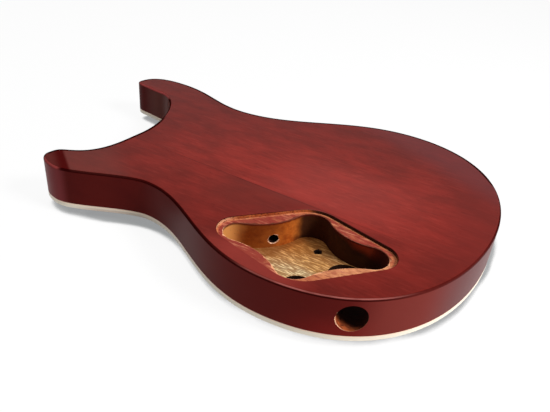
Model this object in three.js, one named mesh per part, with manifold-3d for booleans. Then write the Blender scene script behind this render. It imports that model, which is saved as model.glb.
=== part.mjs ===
// Electric guitar body with two cutaways and a carved front, lying face down.
// Millimetres. X runs along the centre line, from the neck end at -X to the butt at +X.
// +Y is the bass side, -Y the treble side with the control cavity, and +Z is the flat back.
// The origin is on the crown of the carved front, in the middle of the length and width.

import * as THREE from 'three';
import { mergeVertices } from 'three/addons/utils/BufferGeometryUtils.js';
import Module from 'manifold-3d';

const wasm = await Module();
wasm.setup();

// Whole body
const bodyLength = 479;
const bodyWidth = 337;
const backThickness = 35;
const bandHeight = 5;
const archRise = 8;
const backEdgeRadius = 3;
const bindingThickness = 2.2;
const glueGap = 0.3;
const cutOverrun = 4;

// Outline stations, anticlockwise from the butt seen from the back. Places and handles
// are shares of the half length and half width, and a heading is a direction in those shares.
const outlineShares = [
  { station: 'butt', place: [1, 0], heading: [0, 1], before: 0.505, after: 0.665 },
  { station: 'bass bout', place: [0.45, 1], heading: [-1, 0], before: 0.3, after: 0.34 },
  { station: 'bass waist', place: [-0.355, 0.547], heading: [-1, 0], before: 0.3, after: 0.165 },
  { station: 'bass shoulder', place: [-0.82, 0.704], heading: [-1, 0], before: 0.2, after: 0.13 },
  { station: 'bass horn tip', place: [-1, 0.53], heading: [0, -1], before: 0.105, after: 0.035 },
  { station: 'bass horn inside', place: [-0.935, 0.475], heading: [1, -0.14], before: 0.03, after: 0.04 },
  { station: 'bass cutaway', place: [-0.81, 0.444], heading: [1, -0.12], before: 0.05, after: 0.13 },
  { station: 'neck end', place: [-0.538, -0.215], heading: [0, -1], before: 0.285, after: 0.135 },
  { station: 'treble cutaway', place: [-0.597, -0.627], heading: [-1, -1.05], before: 0.083, after: 0.046 },
  { station: 'treble horn tip', place: [-0.663, -0.747], heading: [0, -1], before: 0.08, after: 0.057 },
  { station: 'treble shoulder', place: [-0.55, -0.843], heading: [1, 0], before: 0.04, after: 0.073 },
  { station: 'treble waist', place: [-0.216, -0.662], heading: [1, 0], before: 0.105, after: 0.22 },
  { station: 'treble bout', place: [0.45, -1], heading: [1, 0], before: 0.29, after: 0.385 },
];
const outlineStep = 13;
const leastStepsBetweenStations = 5;
const backEdgeSteps = 3;

// Carved front: a flat rim, then a hollow that turns over into the crown, planed flat at its top
const rimFlat = 5;
const carveWidth = 60;
const crownPlaned = 0.3;
const carveStep = 9;

// Glue seam between the two planks of the back
const seamFromCentre = 51.8;
const seamSkewDegrees = 2.4;

// Control cavity in the back: a four-cornered cover seat with a four-lobed pocket in it
const cavityPlaceShares = [0.462, -0.6425];
const cavityTurnDegrees = 17.3;
const coverLongDiagonal = 183;
const coverShortDiagonal = 114.4;
const coverSharpRadius = 19;
const coverBluntRadius = 28;
const coverSeatDepth = 3;
const pocketDepth = 27;
const neckLobeRadius = 13;
const buttLobeRadius = 15.5;
const centreLobeRadius = 15.5;
const edgeLobeRadius = 15;
const neckSideWaistRadius = 58;
const buttSideWaistRadius = 46;
const jackSideWaistRadius = 70;
const neckLobeShares = [-0.613, 0];
const buttLobeShares = [0.575, 0];
const centreLobeShares = [0, 0.591];
const edgeLobeShares = [-0.037, -0.566];

// Control holes in the pocket floor, placed by shares of the cover's half diagonals
const potRecessRadius = 15;
const potShaftRadius = 4.75;
const potShares = [[0.015, -0.44], [0.39, 0.05]];
const pilotRadius = 2.75;
const pilotShares = [0.088, 0.5];

// Output jack bore, from the treble edge into the butt lobe
const jackRadius = 11.6;
const jackBelowBack = 18.4;
const jackMouthShare = 0.721;
const jackAimShares = [0.62, 0];

// Wire channel, drilled aslant from the cavity to the bridge pickup rout
const channelRadius = 4.2;
const channelStartShares = [-0.326, 0.182];
const channelStartBelowBack = 16.9;
const channelEndFromCrown = 18.4;
const channelEndInset = 10;
const channelEndFromRoutMiddle = 3.1;

// Front side: neck pocket, two pickup routs and the bridge stud holes
const neckPocketWidth = 56;
const neckPocketLength = 56;
const neckPocketDepth = 24;
const routCornerRadius = 6;
const pickupRoutLength = 39;
const pickupRoutSpan = 88;
const pickupRoutDepth = 25;
const wallBehindNeckPocket = 7;
const bridgeFromButt = 144.5;
const bridgePickupFromBridge = 46.5;
const studSpacing = 82;
const studRadius = 5.6;
const studDepth = 20;

// Facets of round shapes
const cornerSteps = 4;
const lobeSteps = 10;
const waistSteps = 7;
const smallHoleSides = 16;
const largeHoleSides = 28;

// Heights above the crown
const glueHeight = archRise + bandHeight;
const bodyHeight = glueHeight + backThickness;
const pocketFloorHeight = bodyHeight - pocketDepth;
const coverSeatHeight = bodyHeight - coverSeatDepth;

// Places along the centre line
const halfLength = bodyLength / 2;
const halfWidth = bodyWidth / 2;
const neckEnd = outlineShares.find((entry) => entry.station === 'neck end').place[0] * halfLength;
const neckPocketEnd = neckEnd + neckPocketLength;
const neckPickupMiddle = neckPocketEnd + wallBehindNeckPocket + pickupRoutLength / 2;
const bridgePlace = halfLength - bridgeFromButt;
const bridgePickupMiddle = bridgePlace - bridgePickupFromBridge;

// Closed solid from a three.js geometry
function solid(geometry) {
  const bare = geometry.clone();
  bare.deleteAttribute('normal');
  bare.deleteAttribute('uv');
  const merged = mergeVertices(bare);
  return new wasm.Manifold(new wasm.Mesh({
    numProp: 3,
    vertProperties: new Float32Array(merged.attributes.position.array),
    triVerts: new Uint32Array(merged.index.array),
  }));
}

// Named mesh from a solid
function piece(name, shape, material) {
  const raw = shape.getMesh();
  const geometry = new THREE.BufferGeometry();
  geometry.setAttribute('position', new THREE.BufferAttribute(raw.vertProperties, raw.numProp));
  geometry.setIndex(new THREE.BufferAttribute(raw.triVerts, 1));
  geometry.computeVertexNormals();
  const mesh = new THREE.Mesh(geometry, material);
  mesh.name = name;
  return mesh;
}

// Straight-walled solid over a flat outline
function prism(points, low, high) {
  const options = { depth: high - low, bevelEnabled: false };
  const geometry = new THREE.ExtrudeGeometry(new THREE.Shape(points), options);
  return solid(geometry.translate(0, 0, low));
}

// Round hole from one point to another
function drill(start, end, radius, sides) {
  const run = new THREE.Vector3().subVectors(end, start);
  const geometry = new THREE.CylinderGeometry(radius, radius, run.length(), sides);
  const upright = new THREE.Vector3(0, 1, 0);
  geometry.applyQuaternion(new THREE.Quaternion().setFromUnitVectors(upright, run.clone().normalize()));
  const middle = new THREE.Vector3().addVectors(start, end).multiplyScalar(0.5);
  return solid(geometry.translate(middle.x, middle.y, middle.z));
}

// Upright hole between two heights
function drillUpright(place, low, high, radius, sides) {
  return drill(new THREE.Vector3(place.x, place.y, low), new THREE.Vector3(place.x, place.y, high), radius, sides);
}

// Solid through a stack of closed rings with equal counts, from the lowest face to the highest
function loft(rings) {
  const count = rings[0].length;
  const faces = [];
  THREE.ShapeUtils.triangulateShape(rings[0], []).forEach(([a, b, c]) => faces.push(c, b, a));
  for (let level = 0; level < rings.length - 1; level += 1) {
    const lower = level * count;
    const upper = lower + count;
    for (let i = 0; i < count; i += 1) {
      const next = (i + 1) % count;
      faces.push(lower + i, lower + next, upper + next);
      faces.push(lower + i, upper + next, upper + i);
    }
  }
  const top = (rings.length - 1) * count;
  THREE.ShapeUtils.triangulateShape(rings.at(-1), []).forEach(([a, b, c]) => faces.push(top + a, top + b, top + c));
  const geometry = new THREE.BufferGeometry().setFromPoints(rings.flat());
  geometry.setIndex(faces);
  return solid(geometry);
}

// Body outline as points, from cubic curves between the stations
function bodyOutline() {
  const onBody = (x, y) => new THREE.Vector2(x * halfLength, y * halfWidth);
  const handle = (entry, reach) => onBody(
    entry.place[0] + entry.heading[0] * reach,
    entry.place[1] + entry.heading[1] * reach,
  );
  return outlineShares.flatMap((from, index) => {
    const to = outlineShares[(index + 1) % outlineShares.length];
    const curve = new THREE.CubicBezierCurve(
      onBody(...from.place),
      handle(from, from.after),
      handle(to, -to.before),
      onBody(...to.place),
    );
    const steps = Math.max(leastStepsBetweenStations, Math.round(curve.getLength() / outlineStep));
    return curve.getSpacedPoints(steps).slice(0, steps);
  });
}

// Outline moved inwards by a distance, with mitred corners
function inset(points, distance) {
  const count = points.length;
  return points.map((point, i) => {
    const arriving = new THREE.Vector2().subVectors(point, points[(i + count - 1) % count]).normalize();
    const leaving = new THREE.Vector2().subVectors(points[(i + 1) % count], point).normalize();
    const along = new THREE.Vector2().addVectors(arriving, leaving).normalize();
    const inwards = new THREE.Vector2(-along.y, along.x);
    const spread = along.dot(leaving);
    return point.clone().addScaledVector(inwards, distance / spread);
  });
}

const atHeight = (points, height) => points.map((point) => new THREE.Vector3(point.x, point.y, height));

// Shortest distance from a point to a closed outline
function edgeDistance(point, outline) {
  const start = new THREE.Vector3();
  const end = new THREE.Vector3();
  const nearest = new THREE.Vector3();
  const target = new THREE.Vector3(point.x, point.y, 0);
  const distances = outline.map((corner, i) => {
    const next = outline[(i + 1) % outline.length];
    new THREE.Line3(start.set(corner.x, corner.y, 0), end.set(next.x, next.y, 0))
      .closestPointToPoint(target, true, nearest);
    return nearest.distanceTo(target);
  });
  return Math.min(...distances);
}

// True where a point lies inside a closed outline
function isInside(point, outline) {
  return outline.reduce((inside, corner, i) => {
    const next = outline[(i + 1) % outline.length];
    const spans = (corner.y > point.y) !== (next.y > point.y);
    if (!spans) return inside;
    const crossing = corner.x + ((next.x - corner.x) * (point.y - corner.y)) / (next.y - corner.y);
    return point.x < crossing ? !inside : inside;
  }, false);
}

// Height of the carved front before the crown is planed, by the distance from the edge
function carvedHeight(point, outline) {
  if (!isInside(point, outline)) return archRise;
  const travel = THREE.MathUtils.smoothstep(edgeDistance(point, outline), rimFlat, rimFlat + carveWidth);
  return archRise - (archRise + crownPlaned) * travel;
}

// Block of waste below the carved front
function carvedWaste(outline) {
  const columns = Math.ceil(bodyLength / carveStep);
  const rows = Math.ceil(bodyWidth / carveStep);
  const block = new THREE.BoxGeometry(bodyLength, bodyWidth, cutOverrun, columns, rows, 1);
  const places = block.attributes.position;
  for (let i = 0; i < places.count; i += 1) {
    const point = new THREE.Vector2(places.getX(i), places.getY(i));
    places.setZ(i, places.getZ(i) > 0 ? carvedHeight(point, outline) : -cutOverrun);
  }
  return solid(block);
}

// Point in the control cavity's own directions, by shares of the cover's half diagonals
function inCavity([alongShare, acrossShare]) {
  const turn = THREE.MathUtils.degToRad(cavityTurnDegrees);
  const local = new THREE.Vector2(alongShare * coverLongDiagonal / 2, acrossShare * coverShortDiagonal / 2);
  const centre = new THREE.Vector2(cavityPlaceShares[0] * halfLength, cavityPlaceShares[1] * halfWidth);
  return local.rotateAround(new THREE.Vector2(), turn).add(centre);
}

// Polygon with each corner rounded by its own radius
function roundedPolygon(corners, radii) {
  return corners.flatMap((corner, i) => {
    const back = new THREE.Vector2().subVectors(corners.at(i - 1), corner).normalize();
    const ahead = new THREE.Vector2().subVectors(corners[(i + 1) % corners.length], corner).normalize();
    const halfAngle = Math.acos(back.dot(ahead)) / 2;
    const middle = new THREE.Vector2().addVectors(back, ahead).normalize();
    const centre = corner.clone().addScaledVector(middle, radii[i] / Math.sin(halfAngle));
    const reach = Math.PI / 2 - halfAngle;
    const outwards = middle.clone().negate().angle();
    return Array.from({ length: cornerSteps + 1 }, (_, step) => {
      const angle = outwards - reach + (2 * reach * step) / cornerSteps;
      return new THREE.Vector2(Math.cos(angle), Math.sin(angle)).multiplyScalar(radii[i]).add(centre);
    });
  });
}

// Cover seat outline: a rhombus with two sharp and two blunt corners
function coverOutline() {
  const corners = [[1, 0], [0, 1], [-1, 0], [0, -1]].map(inCavity);
  return roundedPolygon(corners, [coverSharpRadius, coverBluntRadius, coverSharpRadius, coverBluntRadius]);
}

// Centre of the hollow arc that joins two lobes, on the outer side of the line between them
function waistCentre(from, to) {
  const span = new THREE.Vector2().subVectors(to.centre, from.centre);
  const length = span.length();
  const reachFrom = from.radius + from.waistAfter;
  const reachTo = to.radius + from.waistAfter;
  const along = (reachFrom ** 2 - reachTo ** 2 + length ** 2) / (2 * length);
  const out = Math.sqrt(reachFrom ** 2 - along ** 2);
  const direction = span.normalize();
  const outwards = new THREE.Vector2(direction.y, -direction.x);
  return from.centre.clone().addScaledVector(direction, along).addScaledVector(outwards, out);
}

// Points along an arc, both ends included
function arcPoints(centre, radius, startAngle, endAngle, clockwise, steps) {
  const arc = new THREE.EllipseCurve(centre.x, centre.y, radius, radius, startAngle, endAngle, clockwise);
  return arc.getPoints(steps);
}

// Pocket outline: four lobes joined by hollow waists
function pocketOutline() {
  const lobes = [
    { centre: inCavity(buttLobeShares), radius: buttLobeRadius, waistAfter: buttSideWaistRadius },
    { centre: inCavity(centreLobeShares), radius: centreLobeRadius, waistAfter: neckSideWaistRadius },
    { centre: inCavity(neckLobeShares), radius: neckLobeRadius, waistAfter: neckSideWaistRadius },
    { centre: inCavity(edgeLobeShares), radius: edgeLobeRadius, waistAfter: jackSideWaistRadius },
  ];
  const angleTo = (from, to) => new THREE.Vector2().subVectors(to, from).angle();
  return lobes.flatMap((lobe, i) => {
    const next = lobes[(i + 1) % lobes.length];
    const waistBefore = waistCentre(lobes.at(i - 1), lobe);
    const waistAfter = waistCentre(lobe, next);
    const lobeArc = arcPoints(lobe.centre, lobe.radius,
      angleTo(lobe.centre, waistBefore), angleTo(lobe.centre, waistAfter), false, lobeSteps);
    const waistArc = arcPoints(waistAfter, lobe.waistAfter,
      angleTo(waistAfter, lobe.centre), angleTo(waistAfter, next.centre), true, waistSteps);
    return [...lobeArc, ...waistArc.slice(1, -1)];
  });
}

// Rectangle with rounded corners, as points
function roundedRectangle(left, right, low, high, radius) {
  const corners = [[left, low], [right, low], [right, high], [left, high]].map(([x, y]) => new THREE.Vector2(x, y));
  return roundedPolygon(corners, corners.map(() => radius));
}

// Treble edge of the outline at a place along the body
function trebleEdgeAt(outline, x) {
  const crossings = outline.flatMap((point, i) => {
    const next = outline[(i + 1) % outline.length];
    const crosses = (point.x - x) * (next.x - x) <= 0 && point.x !== next.x;
    return crosses ? [point.y + ((next.y - point.y) * (x - point.x)) / (next.x - point.x)] : [];
  });
  return Math.min(...crossings);
}

// Cuts from the back: cover seat, pocket, pot recesses and pilot hole
function controlCuts() {
  const seat = prism(coverOutline(), coverSeatHeight, bodyHeight + cutOverrun);
  const pocket = prism(pocketOutline(), pocketFloorHeight, bodyHeight + cutOverrun);
  const recesses = potShares.map((shares) => drillUpright(
    inCavity(shares), archRise, pocketFloorHeight + cutOverrun, potRecessRadius, largeHoleSides,
  ));
  const pilot = drillUpright(inCavity(pilotShares), archRise, pocketFloorHeight + cutOverrun,
    pilotRadius, smallHoleSides);
  return [seat, pocket, ...recesses, pilot];
}

// Jack bore from outside the treble edge into the butt lobe
function jackBore(outline) {
  const mouthX = jackMouthShare * halfLength;
  const mouth = new THREE.Vector2(mouthX, trebleEdgeAt(outline, mouthX));
  const aim = inCavity(jackAimShares);
  const outwards = new THREE.Vector2().subVectors(mouth, aim).normalize();
  const outside = mouth.clone().addScaledVector(outwards, jackRadius + cutOverrun);
  const height = bodyHeight - jackBelowBack;
  return drill(
    new THREE.Vector3(outside.x, outside.y, height),
    new THREE.Vector3(aim.x, aim.y, height),
    jackRadius,
    largeHoleSides,
  );
}

// Slanted wire channel from the cavity to the bridge pickup rout
function wireChannel() {
  const start = inCavity(channelStartShares);
  const endX = bridgePickupMiddle - channelEndFromRoutMiddle;
  const endY = channelEndInset - pickupRoutSpan / 2;
  return drill(
    new THREE.Vector3(start.x, start.y, bodyHeight - channelStartBelowBack),
    new THREE.Vector3(endX, endY, channelEndFromCrown),
    channelRadius,
    smallHoleSides,
  );
}

// Cuts from the front: neck pocket, pickup routs and stud holes
function frontCuts() {
  const below = -cutOverrun;
  const halfPocket = neckPocketWidth / 2;
  const halfRout = pickupRoutLength / 2;
  const halfSpan = pickupRoutSpan / 2;
  const pocket = prism(
    roundedRectangle(-halfLength, neckPocketEnd, -halfPocket, halfPocket, routCornerRadius),
    below,
    neckPocketDepth,
  );
  const routs = [neckPickupMiddle, bridgePickupMiddle].map((middle) => prism(
    roundedRectangle(middle - halfRout, middle + halfRout, -halfSpan, halfSpan, routCornerRadius),
    below,
    pickupRoutDepth,
  ));
  const studs = [-studSpacing / 2, studSpacing / 2].map((y) => drillUpright(
    new THREE.Vector2(bridgePlace, y), below, studDepth, studRadius, smallHoleSides,
  ));
  return [pocket, ...routs, ...studs];
}

// Holes through the cap for the control shafts and the pilot hole
function shaftHoles() {
  const top = glueHeight + cutOverrun;
  const shafts = potShares.map((shares) => drillUpright(
    inCavity(shares), -cutOverrun, top, potShaftRadius, smallHoleSides,
  ));
  return [...shafts, drillUpright(inCavity(pilotShares), -cutOverrun, top, pilotRadius, smallHoleSides)];
}

const cutAll = (shape, cuts) => cuts.reduce((left, cut) => left.subtract(cut), shape);

// Block that holds one side of a line along the body: side is 1 for bass, -1 for treble
function sideBlock(side, fromCentre, skewDegrees, gap) {
  const block = new THREE.BoxGeometry(2 * bodyLength, bodyWidth, 2 * bodyHeight);
  block.translate(0, side * (bodyWidth + gap) / 2, bodyHeight / 2);
  block.rotateZ(-THREE.MathUtils.degToRad(skewDegrees));
  return solid(block.translate(0, -fromCentre, 0));
}

// Mahogany back with a rounded back edge
function backSolid(outline) {
  const rings = [atHeight(outline, glueHeight)];
  for (let step = 0; step <= backEdgeSteps; step += 1) {
    const angle = (Math.PI / 2) * (step / backEdgeSteps);
    const inwards = backEdgeRadius * (1 - Math.cos(angle));
    const height = bodyHeight - backEdgeRadius * (1 - Math.sin(angle));
    rings.push(atHeight(inset(outline, inwards), height));
  }
  const cuts = [...controlCuts(), jackBore(outline), wireChannel(), ...frontCuts()];
  return cutAll(loft(rings), cuts);
}

// Carved cap, inside the binding
function capSolid(outline) {
  const blank = prism(inset(outline, bindingThickness + glueGap), 0, glueHeight);
  return cutAll(blank, [carvedWaste(outline), ...frontCuts(), ...shaftHoles()]);
}

// Binding strip round the edge of the cap, open at the neck pocket
function bindingSolid(outline) {
  const outer = prism(outline, archRise, glueHeight);
  const inner = prism(inset(outline, bindingThickness), archRise - cutOverrun, glueHeight + cutOverrun);
  return cutAll(outer, [inner, ...frontCuts()]);
}

const finish = (color, roughness) => new THREE.MeshStandardMaterial({ color, roughness, metalness: 0 });

// Whole body as named pieces
function guitarBody() {
  const outline = bodyOutline();
  const back = backSolid(outline);
  const cap = capSolid(outline);
  const binding = bindingSolid(outline);
  const stainedWood = finish('#7c3230', 0.35);
  const frontWood = finish('#a8673a', 0.3);
  const cream = finish('#efe3cf', 0.4);
  const seamSide = (side) => sideBlock(side, seamFromCentre, seamSkewDegrees, glueGap);
  const centreSide = (side) => sideBlock(side, 0, 0, 0);
  const group = new THREE.Group();
  group.add(
    piece('back_plank_bass', back.intersect(seamSide(1)), stainedWood),
    piece('back_plank_treble', back.intersect(seamSide(-1)), stainedWood),
    piece('cap_half_bass', cap.intersect(centreSide(1)), frontWood),
    piece('cap_half_treble', cap.intersect(centreSide(-1)), frontWood),
    piece('binding_bass', binding.intersect(centreSide(1)), cream),
    piece('binding_treble', binding.intersect(centreSide(-1)), cream),
  );
  return group;
}

export default guitarBody();
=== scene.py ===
"""Looks of a bare electric guitar body, lying face down on a white floor.

The pieces are built in millimetres in the frame's own directions: X along the centre line from the
neck end to the butt, +Y the bass side, +Z the flat back, and the origin under the middle.
"""

import math

import bpy
import numpy as np
from mathutils import Matrix, Vector
from mathutils.geometry import delaunay_2d_cdt


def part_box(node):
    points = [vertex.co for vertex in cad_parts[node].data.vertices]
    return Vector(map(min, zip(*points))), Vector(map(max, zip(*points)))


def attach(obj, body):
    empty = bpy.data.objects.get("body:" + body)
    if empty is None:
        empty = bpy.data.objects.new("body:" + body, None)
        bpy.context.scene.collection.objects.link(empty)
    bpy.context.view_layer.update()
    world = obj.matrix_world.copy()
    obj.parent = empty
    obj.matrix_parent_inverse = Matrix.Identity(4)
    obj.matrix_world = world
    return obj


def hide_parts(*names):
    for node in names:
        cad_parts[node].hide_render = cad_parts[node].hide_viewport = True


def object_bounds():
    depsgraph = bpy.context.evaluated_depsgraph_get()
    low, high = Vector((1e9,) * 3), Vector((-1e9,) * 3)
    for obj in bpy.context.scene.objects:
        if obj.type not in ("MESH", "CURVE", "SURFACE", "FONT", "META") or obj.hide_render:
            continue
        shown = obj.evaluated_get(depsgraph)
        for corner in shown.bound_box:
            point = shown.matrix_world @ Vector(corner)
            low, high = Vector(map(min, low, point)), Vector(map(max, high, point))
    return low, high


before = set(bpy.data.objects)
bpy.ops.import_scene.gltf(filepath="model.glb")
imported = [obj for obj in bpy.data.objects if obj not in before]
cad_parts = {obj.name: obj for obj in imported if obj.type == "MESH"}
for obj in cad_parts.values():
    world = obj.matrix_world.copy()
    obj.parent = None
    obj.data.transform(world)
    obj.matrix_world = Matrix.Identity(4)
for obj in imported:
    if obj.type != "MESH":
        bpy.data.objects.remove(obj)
cad_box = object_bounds()

MM = 0.001

# Whole body, from the frame
LENGTH = (cad_box[1].x - cad_box[0].x) / MM
WIDTH = (cad_box[1].y - cad_box[0].y) / MM
BACK = cad_box[1].z / MM
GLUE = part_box("back_plank_bass")[0].z / MM
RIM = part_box("binding_bass")[0].z / MM
HALF = np.array([LENGTH / 2, WIDTH / 2])

# Outline stations, anticlockwise from the butt seen from the back, in shares of the half sizes:
# place, heading, and the handles before and after
OUTLINE_SHARES = [
    ((1, 0), (0, 1), 0.538, 0.658),
    ((0.449, 1), (-1, 0), 0.296, 0.345),
    ((-0.354, 0.555), (-1, 0), 0.304, 0.162),
    ((-0.822, 0.714), (-1, 0), 0.205, 0.142),
    ((-1, 0.529), (0, -1), 0.105, 0.035),
    ((-0.937, 0.473), (1, -0.14), 0.03, 0.04),
    ((-0.81, 0.444), (1, -0.12), 0.05, 0.13),
    ((-0.538, -0.215), (0, -1), 0.285, 0.135),
    ((-0.606, -0.618), (-1, -1.05), 0.084, 0.047),
    ((-0.67, -0.741), (0, -1), 0.085, 0.06),
    ((-0.552, -0.841), (1, 0), 0.044, 0.085),
    ((-0.214, -0.665), (1, 0), 0.094, 0.21),
    ((0.445, -1), (1, 0), 0.293, 0.389),
]
OUTLINE_STEP = 1.8
NECK_END = OUTLINE_SHARES[7][0][0] * HALF[0]

# Back and cap
BACK_EDGE_RADIUS = 2.4
BACK_EDGE_STEPS = 9
FLAT_MARGIN = 2.6
SEAM_FROM_CENTRE = 51.8
SEAM_SKEW_DEGREES = 2.4
SEAM_GAP = 0.06
SEAM_STAIN_CORE = 0.1
SEAM_STAIN_REACH = 0.9
FAR_EDGE_FADE = 0.3
BINDING_THICKNESS = 2.2
BINDING_EDGE_RADIUS = 0.9
BINDING_EDGE_STEPS = 6
GLUE_GAP = 0.03
RIM_FLAT = 5.0
CARVE_WIDTH = 60.0
CARVE_STEP = 4.0
CARVE_SMOOTHINGS = 40
SHARP_DEGREES = 32

# Control cavity
CAVITY_PLACE = np.array([0.462, -0.6425]) * HALF
CAVITY_TURN = math.radians(17.3)
COVER_HALF = np.array([181.4, 114.0]) / 2
COVER_RADII = (19.0, 28.0, 19.0, 28.0)
SEAT_DEPTH = 3.0
SEAT_CHAMFER = 0.35
# Width of the paler ledge edge, partly a painted highlight
PALE_LEDGE_EDGE = 1.7
POCKET_DEPTH = 27.0
LEAST_TEAR = 0.06
LIP_HEIGHT = 0.3
LIP_WEAR = 0.3
LIP_TEARS = {"most": 2.2, "seed": 5}
LOBES = [
    {"shares": (0.575, 0), "radius": 15.5, "waist": 46.0},
    {"shares": (0, 0.591), "radius": 15.5, "waist": 58.0},
    {"shares": (-0.613, 0), "radius": 13.0, "waist": 58.0},
    {"shares": (-0.037, -0.566), "radius": 15.0, "waist": 70.0},
]
POT_SHARES = [(0.015, -0.44), (0.39, 0.05)]
POT_RECESS_RADIUS = 15.0
POT_RECESS_SIDES = 72
POT_SHAFT_RADIUS = 4.75
POT_SHAFT_SIDES = 32
PILOT_SHARES = (0.088, 0.5)
PILOT_RADIUS = 2.75
PILOT_SIDES = 28
PILOT_FRONT_SIDES = 24
PILOT_WEAR = 0.5
PILOT_CHIP_DEPTH = 0.8
PILOT_TEARS = {"most": 2.4, "seed": 11}
JACK_RADIUS = 12.0
JACK_BELOW_BACK = 18.1
JACK_LENGTH = 53.0
JACK_MOUTH_X = 0.724 * HALF[0]
JACK_AIM_SHARES = (0.48, 0)
JACK_SIDES = 96
JACK_WEAR = 0.05
JACK_TEARS = {"most": 1.5, "seed": 3}
JACK_TEARS_TURN = 0.15
JACK_TEAR_DEPTHS = (0.15, 1.3)
CHANNEL_RADIUS = 4.2
CHANNEL_START_SHARES = (-0.326, 0.182)
CHANNEL_START_BELOW_BACK = 16.9
CHANNEL_END_HEIGHT = 18.4
CHANNEL_END_INSET = 10.0
CHANNEL_END_FROM_ROUT_MIDDLE = 3.1
CHANNEL_SIDES = 48
CHANNEL_WEAR = (0.1, 0.4)
CHANNEL_TEARS = {"most": 1.6, "seed": 8}
CHANNEL_TEARS_TURN = 0.3
CHANNEL_TEAR_DEPTHS = (0.3, 0.6)

# Front side
NECK_POCKET = {"width": 56.0, "length": 56.0, "depth": 24.0}
ROUT = {"length": 39.0, "span": 88.0, "depth": 25.0}
ROUT_CORNER = 6.0
WALL_BEHIND_NECK = 7.0
BRIDGE_X = HALF[0] - 144.5
BRIDGE_PICKUP_X = BRIDGE_X - 46.5
NECK_PICKUP_X = NECK_END + NECK_POCKET["length"] + WALL_BEHIND_NECK + ROUT["length"] / 2
STUD_SPACING = 82.0
STUD_RADIUS = 5.6
STUD_DEPTH = 20.0
STUD_SIDES = 40

# How far cutters run on past what they cut, and into each other
OVERRUN = 4.0
OVERLAP = 1.0

# Directions: along and across the body, and the ways that parts of its edge face, for painted highlights and
# painted shade
TO_BUTT, TO_NECK = (1, 0, 0), (-1, 0, 0)
TO_BASS, TO_TREBLE = (0, 1, 0), (0, -1, 0)
DOWN = (0, 0, -1)
TO_TREBLE_HORN = (-0.568, -0.823, 0)
# Edge facing this way gets a painted highlight; the far edge, facing away from it, gets painted shade
LIT_EDGE_DIRECTION = (0.42, -0.91, 0.0)
HORN_TIP_DIRECTION = (-0.25, -0.968, 0.0)

# Finish
GRAIN_SWAY = 0.005
PATCH_SOFTNESS = 0.18
MARK_RAGGEDNESS = 3.0

# Studio, in metres but for the camera's place
FLOOR_REACH = 9.0
FLOOR_DROP = 0.05 * MM
SURROUND_LIGHT = 0.16
KEY_LIGHT = {"place": (1.3, 0.02, 1.15), "size": 0.5, "power": 27.0}
OVERHEAD_LIGHT = {"place": (0.0, 0.1, 1.8), "size": 1.1, "power": 8.0}
CONTACT_LEAN = (-0.5, 0.55, 0.67)
CONTACT_SHADE = (0.3, 0.31, 0.315, 1.0)
FLOOR_WHITE = (0.92, 0.92, 0.92, 1.0)
PHOTO_SIZE = (550, 412)
PHOTO_CENTRE = (301.775, 229.01)
FOCAL_PIXELS = 563.87
CAMERA_DEGREES = {"heading": 114.77, "pitch": 32.186, "roll": 7.111}
CAMERA_PLACE = (263.9, -451.79, 296.09)


# Curves and outlines, in millimetres

def spaced_bezier(p0, p1, p2, p3, step):
    """Points on a cubic curve at even distances, without its last point."""
    t = np.linspace(0, 1, 200)[:, None]
    curve = (1 - t) ** 3 * p0 + 3 * (1 - t) ** 2 * t * p1 + 3 * (1 - t) * t ** 2 * p2 + t ** 3 * p3
    travel = np.concatenate([[0], np.cumsum(np.hypot(*np.diff(curve, axis=0).T))])
    count = max(5, round(travel[-1] / step))
    places = np.linspace(0, travel[-1], count, endpoint=False)
    return np.column_stack([np.interp(places, travel, curve[:, axis]) for axis in (0, 1)])


def body_outline():
    """Closed outline of the body, from the stations."""
    runs = []
    for here, there in zip(OUTLINE_SHARES, OUTLINE_SHARES[1:] + OUTLINE_SHARES[:1]):
        start, end = np.array(here[0], float), np.array(there[0], float)
        leave = start + here[3] * np.array(here[1])
        arrive = end - there[2] * np.array(there[1])
        runs.append(spaced_bezier(start * HALF, leave * HALF, arrive * HALF, end * HALF, OUTLINE_STEP))
    return np.vstack(runs)


def unit(vector):
    """Vector with a length of one."""
    return vector / np.linalg.norm(vector)


def inset(points, distance):
    """Closed outline moved inwards by a distance."""
    arriving = points - np.roll(points, 1, axis=0)
    arriving /= np.linalg.norm(arriving, axis=1)[:, None]
    leaving = np.roll(arriving, -1, axis=0)
    along = arriving + leaving
    along /= np.linalg.norm(along, axis=1)[:, None]
    spread = (along * leaving).sum(axis=1)
    inwards = np.column_stack([-along[:, 1], along[:, 0]])
    return points + inwards * (distance / spread)[:, None]


def rounded_polygon(corners, radii, steps=14):
    """Closed outline with each corner rounded by its own radius."""
    points = []
    for i, corner in enumerate(corners):
        back = corners[i - 1] - corner
        ahead = corners[(i + 1) % len(corners)] - corner
        back, ahead = unit(back), unit(ahead)
        half_angle = math.acos(back @ ahead) / 2
        middle = unit(back + ahead)
        centre = corner + middle * radii[i] / math.sin(half_angle)
        reach = math.pi / 2 - half_angle
        outwards = math.atan2(-middle[1], -middle[0])
        points.append(arc(centre, radii[i], outwards - reach, outwards + reach, steps))
    return np.vstack(points)


def arc(centre, radius, start, end, steps):
    """Points along an arc, both ends included."""
    angles = np.linspace(start, end, steps + 1)
    return centre + radius * np.column_stack([np.cos(angles), np.sin(angles)])


def in_cavity(shares):
    """Point in the cavity's own directions, by shares of the cover's half diagonals."""
    x, y = np.array(shares, float) * COVER_HALF
    cos, sin = math.cos(CAVITY_TURN), math.sin(CAVITY_TURN)
    return CAVITY_PLACE + np.array([x * cos - y * sin, x * sin + y * cos])


def cover_outline():
    """Rounded rhombus of the cover seat."""
    corners = [in_cavity(shares) for shares in ((1, 0), (0, 1), (-1, 0), (0, -1))]
    return rounded_polygon(corners, COVER_RADII)


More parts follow.
